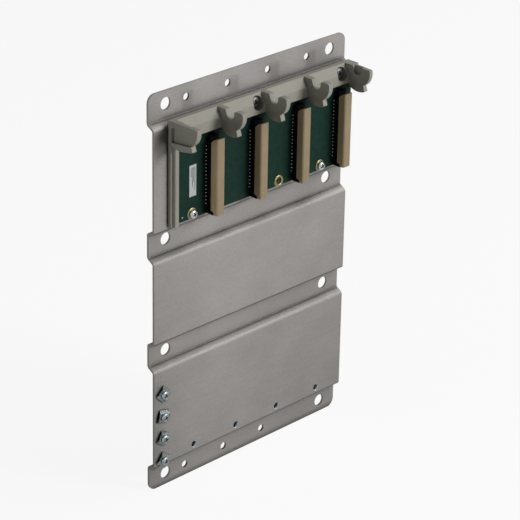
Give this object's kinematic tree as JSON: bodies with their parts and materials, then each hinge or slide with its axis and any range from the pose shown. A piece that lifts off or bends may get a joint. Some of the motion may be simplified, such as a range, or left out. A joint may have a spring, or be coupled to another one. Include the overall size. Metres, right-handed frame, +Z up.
{
  "type": "controller module rack",
  "caption": "Folded steel wall rack with a moulded hook rail, a backplane board with slot sockets, threaded inserts and earth clamps, for hanging controller modules.",
  "frame": {"origin": "middle of the corner hole pattern, in the plane of the plate's back", "axes": "+Z up along the plate's height, +X right along the slots, -Y the front, +Y into the wall"},
  "size_m": [0.184, 0.0334, 0.29],
  "materials": {
    "plate_steel": "brushed bare sheet steel, satin",
    "grey_moulding": "fine satin grain, light grey",
    "screw_zinc": "bright zinc plated",
    "clamp_zinc": "blue zinc plated, smooth",
    "board_green": "solder mask over laminate, semi gloss",
    "eyelet_brass": "bright plated",
    "label_pale": "bare label film",
    "socket_black": "smooth black moulding",
    "socket_beige": "satin beige moulding"
  },
  "bodies": {
    "root": {"mounting_plate": "plate_steel", "hook_rail": "grey_moulding", "backplane_board": "board_green", "label_blank": "label_pale", "board_standoffs": "clamp_zinc", "rail_screw_1": "screw_zinc", "rail_screw_2": "screw_zinc", "board_eyelet_1": "eyelet_brass", "board_eyelet_2": "eyelet_brass", "board_eyelet_3": "eyelet_brass", "board_screw_1": "screw_zinc", "board_screw_2": "screw_zinc", "socket_base_1": "socket_black", "socket_body_1": "socket_beige", "module_insert_1": "clamp_zinc", "ground_clamp_1": "clamp_zinc", "ground_screw_1": "screw_zinc", "socket_base_2": "socket_black", "socket_body_2": "socket_beige", "module_insert_2": "clamp_zinc", "ground_clamp_2": "clamp_zinc", "ground_screw_2": "screw_zinc", "socket_base_3": "socket_black", "socket_body_3": "socket_beige", "module_insert_3": "clamp_zinc", "ground_clamp_3": "clamp_zinc", "ground_screw_3": "screw_zinc", "socket_base_4": "socket_black", "socket_body_4": "socket_beige", "module_insert_4": "clamp_zinc", "ground_clamp_4": "clamp_zinc", "ground_screw_4": "screw_zinc"}
  },
  "joints": []
}
